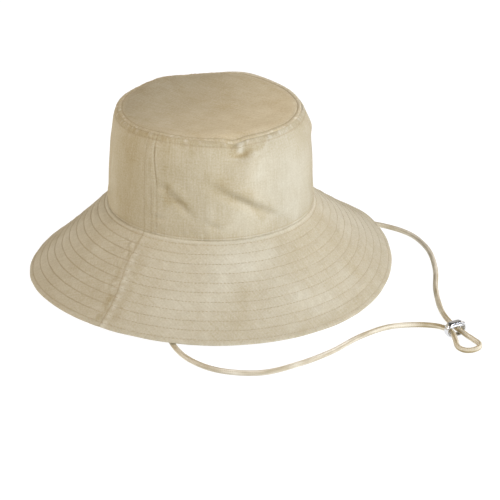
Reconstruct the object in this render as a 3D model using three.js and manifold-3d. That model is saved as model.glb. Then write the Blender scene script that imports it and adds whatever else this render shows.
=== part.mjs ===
// A soft cloth sun hat, lying brim-down on a flat surface, with its chin cord laid out in front.
// Millimetres. +Z is up, the hat's front faces -Y, and its two side seams are at +X and -X.
// The origin is on the surface, under the middle of the hat.
import * as THREE from 'three';
import * as BufferGeometryUtils from 'three/addons/utils/BufferGeometryUtils.js';
import Module from 'manifold-3d';

const wasm = await Module();
wasm.setup();

// ---- Driving dimensions -------------------------------------------------------------------

const DEGREE = Math.PI / 180;
const PANEL_GAP = 0.3; // open joint between two sewn pieces
const CLOTH = 2.2; // shell, interlining and inner layer together

// The crown's outline is an oval at the base seam and nearly a circle at the tip seam.
const BASE = { halfX: 93.5, halfY: 96 };
const TIP = { halfX: 83, halfY: 84 };
const SIDE_HEIGHT = 91;
const SIDE_TAPER = 0.037; // part of the base size lost up the straight of the wall
const SHOULDER_POWER = 6.3; // how late the wall turns in to the tip seam
const CREASE_FADE = 0.2; // fraction of the wall over which creases die out at the base seam
const TIP_RISE = 1.8; // the tip swells just inside its seam
const TIP_RISE_POWER = 4; // how close to the seam the swell lies
const TIP_SAG = 2.5; // the tip sinks in the middle
const TIP_SAG_POWER = 3; // how flat the sunken middle is

// The brim falls away from the base seam. Its slope varies round the hat, so its edge lies on
// the surface at the front and the back and stands clear of it at the two sides.
const BRIM = { width: 98.8, slope: 39.8, flare: 7 };
const SLOPE_WAVES = [
  { wavesRound: 1, size: -1.2, crestAt: 15 },
  { wavesRound: 2, size: -3.9, crestAt: -4 },
  { wavesRound: 4, size: 0.7, crestAt: 22 },
];

// Dents and creases pressed into the crown wall. Azimuth in degrees from +X, anticlockwise seen
// from above; height in mm above the base seam; turn in degrees from level; depth inwards.
const CREASES = [
  { azimuth: 238, height: 28.5, turn: -30, halfLength: 35, halfWidth: 5.5, depth: 3.3 },
  { azimuth: 234, height: 41, turn: -29, halfLength: 28, halfWidth: 7.5, depth: -1.8 },
  { azimuth: 196.5, height: 33.5, turn: -42, halfLength: 15, halfWidth: 5, depth: 2 },
  { azimuth: 202, height: 34, turn: 0, halfLength: 18, halfWidth: 40, depth: 1.5 },
  { azimuth: 223, height: 66, turn: 0, halfLength: 13, halfWidth: 15, depth: 1.2 },
  { azimuth: 235, height: 78, turn: 4, halfLength: 11, halfWidth: 6, depth: 4.2 },
  { azimuth: 302, height: 74, turn: -18, halfLength: 24, halfWidth: 7, depth: -2 },
  { azimuth: 60, height: 45, turn: 20, halfLength: 30, halfWidth: 12, depth: 2.2 },
  { azimuth: 134, height: 34, turn: 62, halfLength: 30, halfWidth: 6, depth: 1.4 },
];

// Where the tip seam leaves its level: a long soft sag and a short pinch at the front, and two
// soft corners that stand up at the back. The higher its fade, the closer a swell keeps to the
// seam.
const TIP_SEAM_SWELLS = [
  { azimuth: 203, halfAngle: 26, rise: -2.6, fade: 3 },
  { azimuth: 230, halfAngle: 6, rise: -3.6, fade: 9 },
  { azimuth: 68, halfAngle: 13, rise: 2.4, fade: 3 },
  { azimuth: 13, halfAngle: 16, rise: 2.6, fade: 3 },
];

// How finely each cloth piece is divided, round the hat and along the cloth.
const DIVISIONS = {
  sideFront: { round: 54, along: 17 },
  sideBack: { round: 32, along: 9 },
  brim: { round: 34, along: 6 },
  tip: { round: 44, along: 6 },
};

const CORD_DIAMETER = 4.8;
const CORD_SIDES = 8;
const STEPS_PER_ROUTE_POINT = 2;

// The slider: a short upright oval sleeve with a bar across it, standing on the surface.
const SLIDER = {
  width: 20,
  height: 14,
  length: 6,
  wall: 2,
  bevel: 0.8,
  barDiameter: 3.4,
  barHeight: 9.5,
  middle: [7, -258.2],
  turn: -25,
};
const SLIDER_ARC_STEPS = 10; // steps in each half circle of its outline
const BAR_SIDES = 14;
const STRAND_OFFSET = 4.2; // each strand's distance from the slider's middle
const STRAND_HEIGHT = 5; // its height in the slider, over the sleeve's lower wall

// ---- Cloth surfaces -----------------------------------------------------------------------

const Z_AXIS = new THREE.Vector3(0, 0, 1);

// The angle from one azimuth to another, in degrees, between -180 and 180.
function angleBetween(from, to) {
  return ((to - from + 540) % 360) - 180;
}

// Outward level direction of the base oval at angle t.
function ovalNormal(t) {
  const x = BASE.halfY * Math.cos(t);
  const y = BASE.halfX * Math.sin(t);
  return new THREE.Vector3(x, y, 0).normalize();
}

function brimSlope(t) {
  let slope = BRIM.slope;
  for (const wave of SLOPE_WAVES) {
    slope += wave.size * Math.cos(wave.wavesRound * (t - wave.crestAt * DEGREE));
  }
  return slope * DEGREE;
}

// How far out and down the brim has gone at a fraction of its width. The slope eases off evenly
// from the seam to the edge, so both follow in closed form.
function brimReach(t, fraction) {
  const flare = BRIM.flare * DEGREE;
  const start = brimSlope(t) + flare / 2;
  const here = start - flare * fraction;
  const out = (BRIM.width * (Math.sin(start) - Math.sin(here))) / flare;
  const down = (BRIM.width * (Math.cos(here) - Math.cos(start))) / flare;
  return { out, down, slope: here };
}

// The base seam's height puts the lowest point of the brim's edge on the surface.
function lowestDrop() {
  let lowest = 0;
  for (let step = 0; step < 360; step += 1) {
    const edge = brimReach(step * DEGREE, 1);
    lowest = Math.max(lowest, edge.down + CLOTH * Math.cos(edge.slope));
  }
  return lowest;
}
const SEAM_HEIGHT = lowestDrop();

function brimPoint(t, fraction) {
  const reach = brimReach(t, fraction);
  const point = new THREE.Vector3(BASE.halfX * Math.cos(t), BASE.halfY * Math.sin(t), 0);
  point.addScaledVector(ovalNormal(t), reach.out);
  point.z = SEAM_HEIGHT - reach.down;
  return point;
}

function creaseDepth(t, height) {
  let depth = 0;
  for (const crease of CREASES) {
    const across = angleBetween(crease.azimuth, t / DEGREE) * DEGREE * BASE.halfY;
    const up = height - crease.height;
    const turn = crease.turn * DEGREE;
    const along = (across * Math.cos(turn) + up * Math.sin(turn)) / crease.halfLength;
    const aside = (up * Math.cos(turn) - across * Math.sin(turn)) / crease.halfWidth;
    depth += crease.depth * Math.exp(-along * along - aside * aside);
  }
  return depth;
}

function tipSeamRise(t, fraction) {
  let rise = 0;
  for (const swell of TIP_SEAM_SWELLS) {
    const away = angleBetween(swell.azimuth, t / DEGREE) / swell.halfAngle;
    rise += swell.rise * Math.exp(-away * away) * fraction ** swell.fade;
  }
  return rise;
}

// The crown wall, from the base seam at fraction 0 to the tip seam at fraction 1.
function sidePoint(t, fraction) {
  const straight = 1 - SIDE_TAPER * fraction;
  const shoulder = fraction ** SHOULDER_POWER;
  const halfX = BASE.halfX * straight + (TIP.halfX - BASE.halfX * (1 - SIDE_TAPER)) * shoulder;
  const halfY = BASE.halfY * straight + (TIP.halfY - BASE.halfY * (1 - SIDE_TAPER)) * shoulder;
  const height = SIDE_HEIGHT * fraction;
  const point = new THREE.Vector3(halfX * Math.cos(t), halfY * Math.sin(t), 0);
  point.addScaledVector(ovalNormal(t), -creaseDepth(t, height) * Math.min(1, fraction / CREASE_FADE));
  point.z = SEAM_HEIGHT + height + tipSeamRise(t, fraction);
  return point;
}

// The tip, from its middle at fraction 0 to the tip seam at fraction 1.
function tipPoint(t, fraction) {
  const seam = sidePoint(t, 1);
  const middle = SEAM_HEIGHT + SIDE_HEIGHT - TIP_SAG;
  const height = middle + TIP_SAG * fraction ** TIP_SAG_POWER + tipSeamRise(t, fraction);
  const rise = TIP_RISE * Math.sin(Math.PI * fraction ** TIP_RISE_POWER);
  return new THREE.Vector3(seam.x * fraction, seam.y * fraction, height + rise);
}

const TIP_MIDDLE = 0.05; // inside this fraction the tip has one normal

// Outward normal of a surface that runs anticlockwise with t and along the cloth with fraction.
function surfaceNormal(surface, t, fraction, alongSign) {
  const step = 1e-3;
  const inner = Math.max(fraction - step, 0);
  const outer = Math.min(fraction + step, 1);
  const round = surface(t + step, fraction).sub(surface(t - step, fraction));
  const along = surface(t, outer).sub(surface(t, inner));
  return round.cross(along).multiplyScalar(alongSign).normalize();
}
const sideNormal = (t, fraction) => surfaceNormal(sidePoint, t, fraction, 1);
const brimNormal = (t, fraction) => surfaceNormal(brimPoint, t, fraction, -1);
const tipNormal = (t, fraction) => surfaceNormal(tipPoint, t, Math.max(fraction, TIP_MIDDLE), -1);

// Both faces of the cloth where two pieces meet in a mitred seam, moved half a gap to one side.
function mitredEdge(point, ownNormal, otherNormal, upwards) {
  const bisector = ownNormal.clone().add(otherNormal);
  bisector.multiplyScalar(CLOTH / (1 + ownNormal.dot(otherNormal)));
  const apart = ownNormal.clone().sub(otherNormal).normalize();
  if (apart.z > 0 !== upwards) apart.negate();
  const outer = point.clone().addScaledVector(apart, PANEL_GAP / 2);
  return { outer, inner: outer.clone().sub(bisector) };
}

function clothAt(surface, normal, t, fraction) {
  const outer = surface(t, fraction);
  const inner = outer.clone().addScaledVector(normal(t, fraction), -CLOTH);
  return { outer, inner };
}

function sideCloth(t, fraction) {
  if (fraction === 0) return mitredEdge(sidePoint(t, 0), sideNormal(t, 0), brimNormal(t, 0), true);
  if (fraction === 1) return mitredEdge(sidePoint(t, 1), sideNormal(t, 1), tipNormal(t, 1), false);
  return clothAt(sidePoint, sideNormal, t, fraction);
}

function brimCloth(t, fraction) {
  if (fraction === 0) return mitredEdge(brimPoint(t, 0), brimNormal(t, 0), sideNormal(t, 0), false);
  return clothAt(brimPoint, brimNormal, t, fraction);
}

function tipCloth(t, fraction) {
  if (fraction === 1) return mitredEdge(tipPoint(t, 1), tipNormal(t, 1), sideNormal(t, 1), true);
  return clothAt(tipPoint, tipNormal, t, fraction);
}

// ---- Closed meshes ------------------------------------------------------------------------

function meshGeometry(points, triangles) {
  const geometry = new THREE.BufferGeometry();
  const position = points.flatMap((point) => [point.x, point.y, point.z]);
  geometry.setAttribute('position', new THREE.Float32BufferAttribute(position, 3));
  geometry.setIndex(triangles);
  geometry.computeVertexNormals();
  return geometry;
}

// A cloth piece between two azimuths: two faces and the four edges between them. Set flip where
// the cloth runs down and out from its seam.
function panel(cloth, fromDegrees, toDegrees, divisions, flip) {
  const halfGap = PANEL_GAP / 2 / BASE.halfX;
  const from = fromDegrees * DEGREE + halfGap;
  const to = toDegrees * DEGREE - halfGap;
  const { round, along } = divisions;
  const points = [];
  for (let i = 0; i <= round; i += 1) {
    for (let j = 0; j <= along; j += 1) {
      const { outer, inner } = cloth(from + ((to - from) * i) / round, j / along);
      points.push(outer, inner);
    }
  }
  const at = (i, j, face) => (i * (along + 1) + j) * 2 + face;
  const triangles = [];
  const quad = (a, b, c, d) => {
    if (flip) triangles.push(a, c, b, a, d, c);
    else triangles.push(a, b, c, a, c, d);
  };
  for (let i = 0; i < round; i += 1) {
    for (let j = 0; j < along; j += 1) {
      quad(at(i, j, 0), at(i + 1, j, 0), at(i + 1, j + 1, 0), at(i, j + 1, 0));
      quad(at(i, j, 1), at(i, j + 1, 1), at(i + 1, j + 1, 1), at(i + 1, j, 1));
    }
    quad(at(i, 0, 1), at(i + 1, 0, 1), at(i + 1, 0, 0), at(i, 0, 0));
    quad(at(i, along, 0), at(i + 1, along, 0), at(i + 1, along, 1), at(i, along, 1));
  }
  for (let j = 0; j < along; j += 1) {
    quad(at(0, j, 1), at(0, j, 0), at(0, j + 1, 0), at(0, j + 1, 1));
    quad(at(round, j, 0), at(round, j, 1), at(round, j + 1, 1), at(round, j + 1, 0));
  }
  return meshGeometry(points, triangles);
}

// A round cloth piece: two discs joined at their rims.
function disc(cloth, divisions) {
  const { round, along } = divisions;
  const middle = cloth(0, 0);
  const points = [middle.outer, middle.inner];
  for (let i = 0; i < round; i += 1) {
    for (let j = 1; j <= along; j += 1) {
      const { outer, inner } = cloth((2 * Math.PI * i) / round, j / along);
      points.push(outer, inner);
    }
  }
  const at = (i, j, face) => 2 + ((i % round) * along + j - 1) * 2 + face;
  const triangles = [];
  for (let i = 0; i < round; i += 1) {
    triangles.push(0, at(i, 1, 0), at(i + 1, 1, 0));
    triangles.push(1, at(i + 1, 1, 1), at(i, 1, 1));
    for (let j = 1; j < along; j += 1) {
      triangles.push(at(i, j, 0), at(i, j + 1, 0), at(i + 1, j + 1, 0));
      triangles.push(at(i, j, 0), at(i + 1, j + 1, 0), at(i + 1, j, 0));
      triangles.push(at(i, j, 1), at(i + 1, j, 1), at(i + 1, j + 1, 1));
      triangles.push(at(i, j, 1), at(i + 1, j + 1, 1), at(i, j + 1, 1));
    }
    triangles.push(at(i, along, 0), at(i, along, 1), at(i + 1, along, 1));
    triangles.push(at(i, along, 0), at(i + 1, along, 1), at(i + 1, along, 0));
  }
  return meshGeometry(points, triangles);
}

// ---- Chin cord ----------------------------------------------------------------------------

// A point in the slider's own frame: across it, forward through it, and up.
function atSlider(across, forward, up) {
  const point = new THREE.Vector3(across, -forward, up);
  point.applyAxisAngle(Z_AXIS, SLIDER.turn * DEGREE);
  return point.add(new THREE.Vector3(...SLIDER.middle, 0));
}

const LAID = CORD_DIAMETER / 2; // height of the cord's centre where it lies on the surface

// From the left side seam, out under the brim, through the slider, round the loop and back.
const CORD_ROUTE = [
  [-88.4, 0, 68],
  [-90, -5, 38],
  [-96, -13, 14],
  [-108, -25, 4.4],
  [-128, -44, LAID + 0.1],
  [-150, -66, LAID],
  [-164, -93, LAID],
  [-166, -125, LAID],
  [-149, -158, LAID],
  [-119, -175.5, LAID],
  [-84, -187, LAID],
  [-45, -193, LAID],
  [-16, -204, LAID],
  [2, -222.5, LAID + 0.1],
  [8.5, -240, 3.4],
  atSlider(-STRAND_OFFSET, -5, STRAND_HEIGHT).toArray(),
  atSlider(-STRAND_OFFSET, 2, STRAND_HEIGHT).toArray(),
  [-5, -265.5, 3.5],
  [-14, -273.5, LAID + 0.1],
  [-15.6, -280.5, LAID],
  [-12, -286, LAID],
  [-5, -288.4, LAID],
  [1.5, -285.6, LAID],
  [5, -278.5, LAID + 0.3],
  [7.4, -270, 3.7],
  atSlider(STRAND_OFFSET, 2, STRAND_HEIGHT).toArray(),
  atSlider(STRAND_OFFSET, -5, STRAND_HEIGHT).toArray(),
  [27, -238, 3.2],
  [42, -223.5, LAID + 0.1],
  [72, -201.5, LAID],
  [110, -179, LAID],
  [143.5, -151, LAID],
  [162, -120.5, LAID],
  [164, -88, LAID],
  [153, -54, LAID],
  [133, -28, LAID + 0.2],
  [113, -12, 4.6],
  [98, -5, 15],
  [91, -1, 40],
  [88.4, 0, 68],
];

// A curve whose steps follow its route points, so that they close up in the tight bends.
class RouteCurve extends THREE.CatmullRomCurve3 {
  getPointAt(along, target) {
    return this.getPoint(along, target);
  }

  getTangentAt(along, target) {
    return this.getTangent(along, target);
  }
}

function chinCord() {
  const route = CORD_ROUTE.map((point) => new THREE.Vector3(...point));
  const section = new THREE.Shape();
  for (let side = 0; side < CORD_SIDES; side += 1) {
    const angle = (2 * Math.PI * (side + 0.5)) / CORD_SIDES;
    const x = (Math.cos(angle) * CORD_DIAMETER) / 2;
    const y = (Math.sin(angle) * CORD_DIAMETER) / 2;
    if (side === 0) section.moveTo(x, y);
    else section.lineTo(x, y);
  }
  section.closePath();
  return new THREE.ExtrudeGeometry(section, {
    extrudePath: new RouteCurve(route),
    steps: STEPS_PER_ROUTE_POINT * (route.length - 1),
    bevelEnabled: false,
  });
}

// ---- Cord slider --------------------------------------------------------------------------

function toSolid(geometry) {
  const bare = geometry.clone();
  bare.deleteAttribute('normal');
  bare.deleteAttribute('uv');
  const merged = BufferGeometryUtils.mergeVertices(bare);
  const mesh = new wasm.Mesh({
    numProp: 3,
    vertProperties: new Float32Array(merged.attributes.position.array),
    triVerts: new Uint32Array(merged.index.array),
  });
  return new wasm.Manifold(mesh);
}

function toGeometry(solid) {
  const mesh = solid.getMesh();
  const geometry = new THREE.BufferGeometry();
  geometry.setAttribute('position', new THREE.BufferAttribute(new Float32Array(mesh.vertProperties), 3));
  geometry.setIndex(new THREE.BufferAttribute(new Uint32Array(mesh.triVerts), 1));
  geometry.computeVertexNormals();
  return geometry;
}

// An upright oval outline with straight top and bottom, drawn in from the sleeve's outside by inset.
function sleeveOutline(inset) {
  const radius = SLIDER.height / 2 - inset;
  const reach = (SLIDER.width - SLIDER.height) / 2;
  const shape = new THREE.Shape();
  shape.absarc(reach, 0, radius, -Math.PI / 2, Math.PI / 2);
  shape.absarc(-reach, 0, radius, Math.PI / 2, (3 * Math.PI) / 2);
  shape.closePath();
  return shape;
}

function cordSlider() {
  const { bevel } = SLIDER;
  const body = new THREE.ExtrudeGeometry(sleeveOutline(bevel), {
    depth: SLIDER.length - 2 * bevel,
    bevelThickness: bevel,
    bevelSize: bevel,
    bevelSegments: 2,
    curveSegments: SLIDER_ARC_STEPS,
  });
  body.translate(0, 0, bevel - SLIDER.length / 2);
  const bore = new THREE.ExtrudeGeometry(sleeveOutline(SLIDER.wall), {
    depth: 2 * SLIDER.length,
    bevelEnabled: false,
    curveSegments: SLIDER_ARC_STEPS,
  });
  bore.translate(0, 0, -SLIDER.length);
  const barLength = SLIDER.width - SLIDER.wall;
  const barRadius = SLIDER.barDiameter / 2;
  const bar = new THREE.CylinderGeometry(barRadius, barRadius, barLength, BAR_SIDES);
  bar.rotateZ(Math.PI / 2);
  bar.translate(0, SLIDER.barHeight - SLIDER.height / 2, 0);
  const slider = toGeometry(toSolid(body).subtract(toSolid(bore)).add(toSolid(bar)));
  slider.rotateX(Math.PI / 2);
  slider.rotateZ(SLIDER.turn * DEGREE);
  slider.translate(...SLIDER.middle, SLIDER.height / 2);
  return slider;
}

// ---- The hat ------------------------------------------------------------------------------

const COTTON = { color: 0xbfb08f, roughness: 0.95, metalness: 0 };
const BRAID = { color: 0xc9b893, roughness: 0.85, metalness: 0 };
const CHROME = { color: 0xd8dade, roughness: 0.12, metalness: 1 };

const hat = new THREE.Group();

function addPiece(name, geometry, finish) {
  const mesh = new THREE.Mesh(geometry, new THREE.MeshStandardMaterial(finish));
  mesh.name = name;
  hat.add(mesh);
}

addPiece('crown_tip', disc(tipCloth, DIVISIONS.tip), COTTON);
addPiece('crown_side_front', panel(sideCloth, 180, 360, DIVISIONS.sideFront, false), COTTON);
addPiece('crown_side_back', panel(sideCloth, 0, 180, DIVISIONS.sideBack, false), COTTON);
addPiece('brim_front', panel(brimCloth, 180, 360, DIVISIONS.brim, true), COTTON);
addPiece('brim_back', panel(brimCloth, 0, 180, DIVISIONS.brim, true), COTTON);
addPiece('chin_cord', chinCord(), BRAID);
addPiece('cord_slider', cordSlider(), CHROME);

export default hat;
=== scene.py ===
"""A soft cotton sun hat, brim down on a pale floor, its chin cord laid out in front.

Lengths are millimetres in the CAD frame until a mesh is made of them, but metres in the
camera, the materials and the lighting.
"""

import math

import bpy
import numpy as np
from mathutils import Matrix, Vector


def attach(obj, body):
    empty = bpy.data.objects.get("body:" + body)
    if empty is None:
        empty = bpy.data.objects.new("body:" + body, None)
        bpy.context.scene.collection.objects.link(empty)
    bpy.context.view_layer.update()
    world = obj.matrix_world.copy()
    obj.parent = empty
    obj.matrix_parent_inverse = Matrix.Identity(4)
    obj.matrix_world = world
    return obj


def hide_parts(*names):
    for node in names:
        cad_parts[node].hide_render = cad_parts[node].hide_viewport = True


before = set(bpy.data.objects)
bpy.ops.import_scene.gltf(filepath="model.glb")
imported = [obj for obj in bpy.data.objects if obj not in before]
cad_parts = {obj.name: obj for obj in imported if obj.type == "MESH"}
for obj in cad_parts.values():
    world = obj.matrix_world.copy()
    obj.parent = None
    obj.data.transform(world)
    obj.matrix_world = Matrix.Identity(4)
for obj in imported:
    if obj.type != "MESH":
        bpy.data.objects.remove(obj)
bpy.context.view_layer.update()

MM = 0.001
DEGREE = math.pi / 180

# ---- Camera ----

CAMERA_PLACE = (-1.4403, -1.0335, 0.8629)
CAMERA_AIM = (0.0006, -0.0440, 0.0281)
CAMERA_LENS = 150.9
SENSOR_WIDTH = 36


def aim_at(thing, place):
    sight = Vector(place) - thing.location
    thing.rotation_euler = sight.to_track_quat("-Z", "Y").to_euler()


def add_camera():
    data = bpy.data.cameras.new("camera")
    data.lens = CAMERA_LENS
    data.sensor_width = SENSOR_WIDTH
    data.dof.use_dof = False
    camera = bpy.data.objects.new("camera", data)
    camera.location = CAMERA_PLACE
    aim_at(camera, CAMERA_AIM)
    bpy.context.collection.objects.link(camera)
    bpy.context.scene.camera = camera


add_camera()

# ---- Sizes ----
# These are the CAD's. But the CAD has fewer and softer creases and no SLOPE_BENDS, and its tip
# seam sags at the front left.

CLOTH = 2.2
BASE_X, BASE_Y = 93.5, 96.0
TIP_X, TIP_Y = 83.0, 84.0
SIDE_HEIGHT = 91.0
SIDE_TAPER = 0.037
SHOULDER_POWER = 6.3
CREASE_FADE = 0.2
SWELL_POWER = 3
TIP_RISE, TIP_RISE_POWER = 1.8, 4
TIP_SAG, TIP_SAG_POWER = 2.5, 3
BRIM_WIDTH = 98.8
BRIM_SLOPE = 39.8
BRIM_FLARE = 7.0
# Waves round the hat, size in degrees, azimuth of a crest.
SLOPE_WAVES = ((1, -1.2, 15), (2, -3.9, -4), (4, 0.7, 22))
# Where the worn brim also lies a little flatter or steeper: azimuth, half width, degrees.
SLOPE_BENDS = ((16, 16, -2.3), (352, 12, 1.8))
# Azimuth and height of the middle, turn from level, half length, half width, depth inwards.
CREASES = (
    (238, 28.5, -30, 35, 5, 3.4),
    (234, 41, -29, 28, 7, -1.8),
    (196.5, 33.5, -42, 15, 3.8, 2.2),
    (198.5, 41, -42, 14, 5, -0.8),
    (187.5, 45, 0, 6, 2.6, 1.0),
    (190.5, 36, -65, 7, 2.6, 1.0),
    (217, 12, -28, 8, 3.5, 1.4),
    (186, 15, 8, 8, 3, 1.0),
    (202, 34, 0, 18, 40, 1.5),
    (223, 66, 0, 13, 15, 1.2),
    (214, 22, 90, 16, 4.5, -0.8),
    (236, 62, 70, 18, 5, -0.8),
    (233.8, 78.8, 4, 11, 5.2, 4.4),
    (302, 74, -18, 24, 7, -2.0),
    (60, 45, 20, 30, 12, 2.2),
    (134, 34, 62, 30, 6, 1.4),
)
# Azimuth, half angle, rise.
TIP_SEAM_SWELLS = ((188, 24, 2.0), (68, 13, 2.4), (13, 16, 2.6))
TIP_SEAM_PINCHES = ((230, 6, -3.6),)
PINCH_POWER = 9
# The brim is cut as part of a cone, which widens this much for each mm along the cloth.
CONE_COS = 0.77
TIP_LENGTH = 83.5
FRONT, BACK = (180, 360), (0, 180)

# ---- Small helpers ----


def unit(vectors):
    return vectors / np.linalg.norm(vectors, axis=-1, keepdims=True)


def bell(distance, half_width):
    return np.exp(-((distance / half_width) ** 2))


def smooth(low, high, x):
    part = np.clip((x - low) / (high - low), 0, 1)
    return part * part * (3 - 2 * part)


def angle_between(azimuth, t):
    """From an azimuth to t, in degrees between -180 and 180."""
    return (t / DEGREE - azimuth + 540) % 360 - 180


def bells_round(t, bells):
    """The sum of bells round the hat, each an azimuth, a half angle and a size."""
    total = 0
    for azimuth, half_angle, size in bells:
        total += size * bell(angle_between(azimuth, t), half_angle)
    return total


def soft_patches(t, radius, up, patches):
    """The sum of soft ovals: azimuth, height, turn, half length, half width, size."""
    total = 0
    for azimuth, middle, turn, half_length, half_width, size in patches:
        across = angle_between(azimuth, t) * DEGREE * radius
        rise = up - middle
        cos, sin = math.cos(turn * DEGREE), math.sin(turn * DEGREE)
        along = (across * cos + rise * sin) / half_length
        aside = (rise * cos - across * sin) / half_width
        total += size * np.exp(-along * along - aside * aside)
    return total


def distance_along(line):
    steps = np.linalg.norm(np.diff(line, axis=0), axis=1)
    return np.concatenate(([0], np.cumsum(steps)))


def read_line(places, along, values):
    return np.stack([np.interp(places, along, values[:, k]) for k in range(3)], -1)


class Ripples:
    """A smooth random field over two or three coordinates, about 1 in size."""

    COUNT = 36

    def __init__(self, seed, wavelength):
        draw = np.random.default_rng(seed)
        direction = unit(draw.normal(size=(self.COUNT, 3)))
        rate = 2 * math.pi / wavelength * draw.uniform(0.6, 1.4, size=(self.COUNT, 1))
        self.waves = direction * rate
        self.starts = draw.uniform(0, 2 * math.pi, size=self.COUNT)

    def __call__(self, *places):
        total = 0
        for wave, start in zip(self.waves, self.starts):
            phase = start
            for rate, place in zip(wave, places):
                phase = phase + rate * place
            total += np.cos(phase)
        return total / math.sqrt(self.COUNT / 2)


# ---- Cloth surfaces ----
# Each takes the azimuth in radians and the fraction of the way along the cloth.


def oval_normal(t):
    x, y = BASE_Y * np.cos(t), BASE_X * np.sin(t)
    size = np.hypot(x, y)
    return x / size, y / size


def brim_slope(t):
    slope = BRIM_SLOPE + bells_round(t, SLOPE_BENDS)
    for waves_round, size, crest in SLOPE_WAVES:
        slope += size * np.cos(waves_round * (t - crest * DEGREE))
    return slope * DEGREE


def brim_reach(t, fraction):
    """How far out and down the brim goes, and its slope there."""
    flare = BRIM_FLARE * DEGREE
    start = brim_slope(t) + flare / 2
    here = start - flare * fraction
    out = BRIM_WIDTH * (np.sin(start) - np.sin(here)) / flare
    down = BRIM_WIDTH * (np.cos(here) - np.cos(start)) / flare
    return out, down, here


def lowest_drop():
    t = np.arange(360) * DEGREE
    _, down, slope = brim_reach(t, 1)
    return float(np.max(down + CLOTH * np.cos(slope)))


SEAM_HEIGHT = lowest_drop()


def brim_point(t, fraction):
    out, down, _ = brim_reach(t, fraction)
    nx, ny = oval_normal(t)
    x = BASE_X * np.cos(t) + nx * out
    y = BASE_Y * np.sin(t) + ny * out
    return np.stack(np.broadcast_arrays(x, y, SEAM_HEIGHT - down), -1)


def side_point(t, fraction):
    straight = 1 - SIDE_TAPER * fraction
    shoulder = fraction**SHOULDER_POWER
    half_x = BASE_X * straight + (TIP_X - BASE_X * (1 - SIDE_TAPER)) * shoulder
    half_y = BASE_Y * straight + (TIP_Y - BASE_Y * (1 - SIDE_TAPER)) * shoulder
    height = SIDE_HEIGHT * fraction
    dent = soft_patches(t, BASE_Y, height, CREASES) * np.minimum(1, fraction / CREASE_FADE)
    nx, ny = oval_normal(t)
    x = half_x * np.cos(t) - nx * dent
    y = half_y * np.sin(t) - ny * dent
    z = SEAM_HEIGHT + height + bells_round(t, TIP_SEAM_SWELLS) * fraction**SWELL_POWER
    z += bells_round(t, TIP_SEAM_PINCHES) * fraction**PINCH_POWER
    return np.stack(np.broadcast_arrays(x, y, z), -1)


def tip_point(t, fraction):
    seam = side_point(t, 1.0 + 0 * fraction)
    middle = SEAM_HEIGHT + SIDE_HEIGHT - TIP_SAG
    pinch = bells_round(t, TIP_SEAM_PINCHES)
    height = middle + (seam[..., 2] - pinch - middle) * fraction**TIP_SAG_POWER
    height += pinch * fraction**PINCH_POWER
    height += TIP_RISE * np.sin(math.pi * fraction**TIP_RISE_POWER)
    return np.stack((seam[..., 0] * fraction, seam[..., 1] * fraction, height), -1)


def surface_normal(surface, t, fraction, sign):
    step = 1e-3
    inner = np.maximum(fraction - step, 0)
    outer = np.minimum(fraction + step, 1)
    round_ = surface(t + step, fraction) - surface(t - step, fraction)
    along = surface(t, outer) - surface(t, inner)
    return unit(np.cross(round_, along)) * sign


def side_normal(t, fraction):
    return surface_normal(side_point, t, fraction, 1)


def brim_normal(t, fraction):
    return surface_normal(brim_point, t, fraction, -1)


def tip_normal(t, fraction):
    """Read a little out from the middle, where the rings are too small for it."""
    return surface_normal(tip_point, t, np.maximum(fraction, 0.05), -1)


# ---- Relief on the cloth ----
# Each relief takes the azimuth and the distance along the cloth from the piece's seam, in mm,
# and gives how far the outer face stands proud.

ROW_START, ROW_STEP, ROW_COUNT = 4.3, 9.02, 11
BRIM_ROWS = tuple(ROW_START + ROW_STEP * row for row in range(ROW_COUNT))
TIP_ROW = 3.8
SIDE_TOP_ROW = 5.0
SIDE_BASE_ROW = 2.4
SEAM_ROW, THIRD_ROW = 5.9, 1.6
SIDE_SEAMS = (0, 180)

broad = Ripples(11, 75)
middling = Ripples(12, 30)
pucker = Ripples(13, 9.5)
small_pucker = Ripples(14, 5.0)
channel_puff = Ripples(15, 24)

BASE_SEAM_SINK, TIP_SEAM_SINK = 0.12, 0.15
SEAM_SINK_WIDTH = 0.6
SHOULDER_SINK = 0.9
SHOULDER_REACH = 3.4
# Where the shoulder is firm: azimuth, half angle, how firm.
FIRM_STRETCHES = ((2, 42, 2.3), (108, 22, 1.1))
# The step through a random field that gives each sewn channel its own pattern.
NEXT_CHANNEL = 40.0
# The stitches of a side seam's upright rows show one by one.
DOT_PITCH, DOT_START = 3.3, 4.65

# Soft swellings of the brim: azimuth, distance from the base seam, turn, half length, half
# width, height. A turn goes from round the hat towards its edge.
BRIM_SWELLS = (
    (214, 40, 84, 45, 8, 1.1),
    (190, 60, 80, 45, 10, -0.9),
    (238, 36, 122, 40, 9, -1.1),
    (246, 70, 118, 30, 11, 0.7),
    (278, 60, 95, 45, 10, 0.5),
    (300, 50, 90, 40, 12, -0.7),
    (160, 50, 90, 45, 9, 0.5),
    (40, 55, 80, 45, 14, 0.8),
    (95, 50, 95, 45, 16, -0.8),
)
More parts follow.
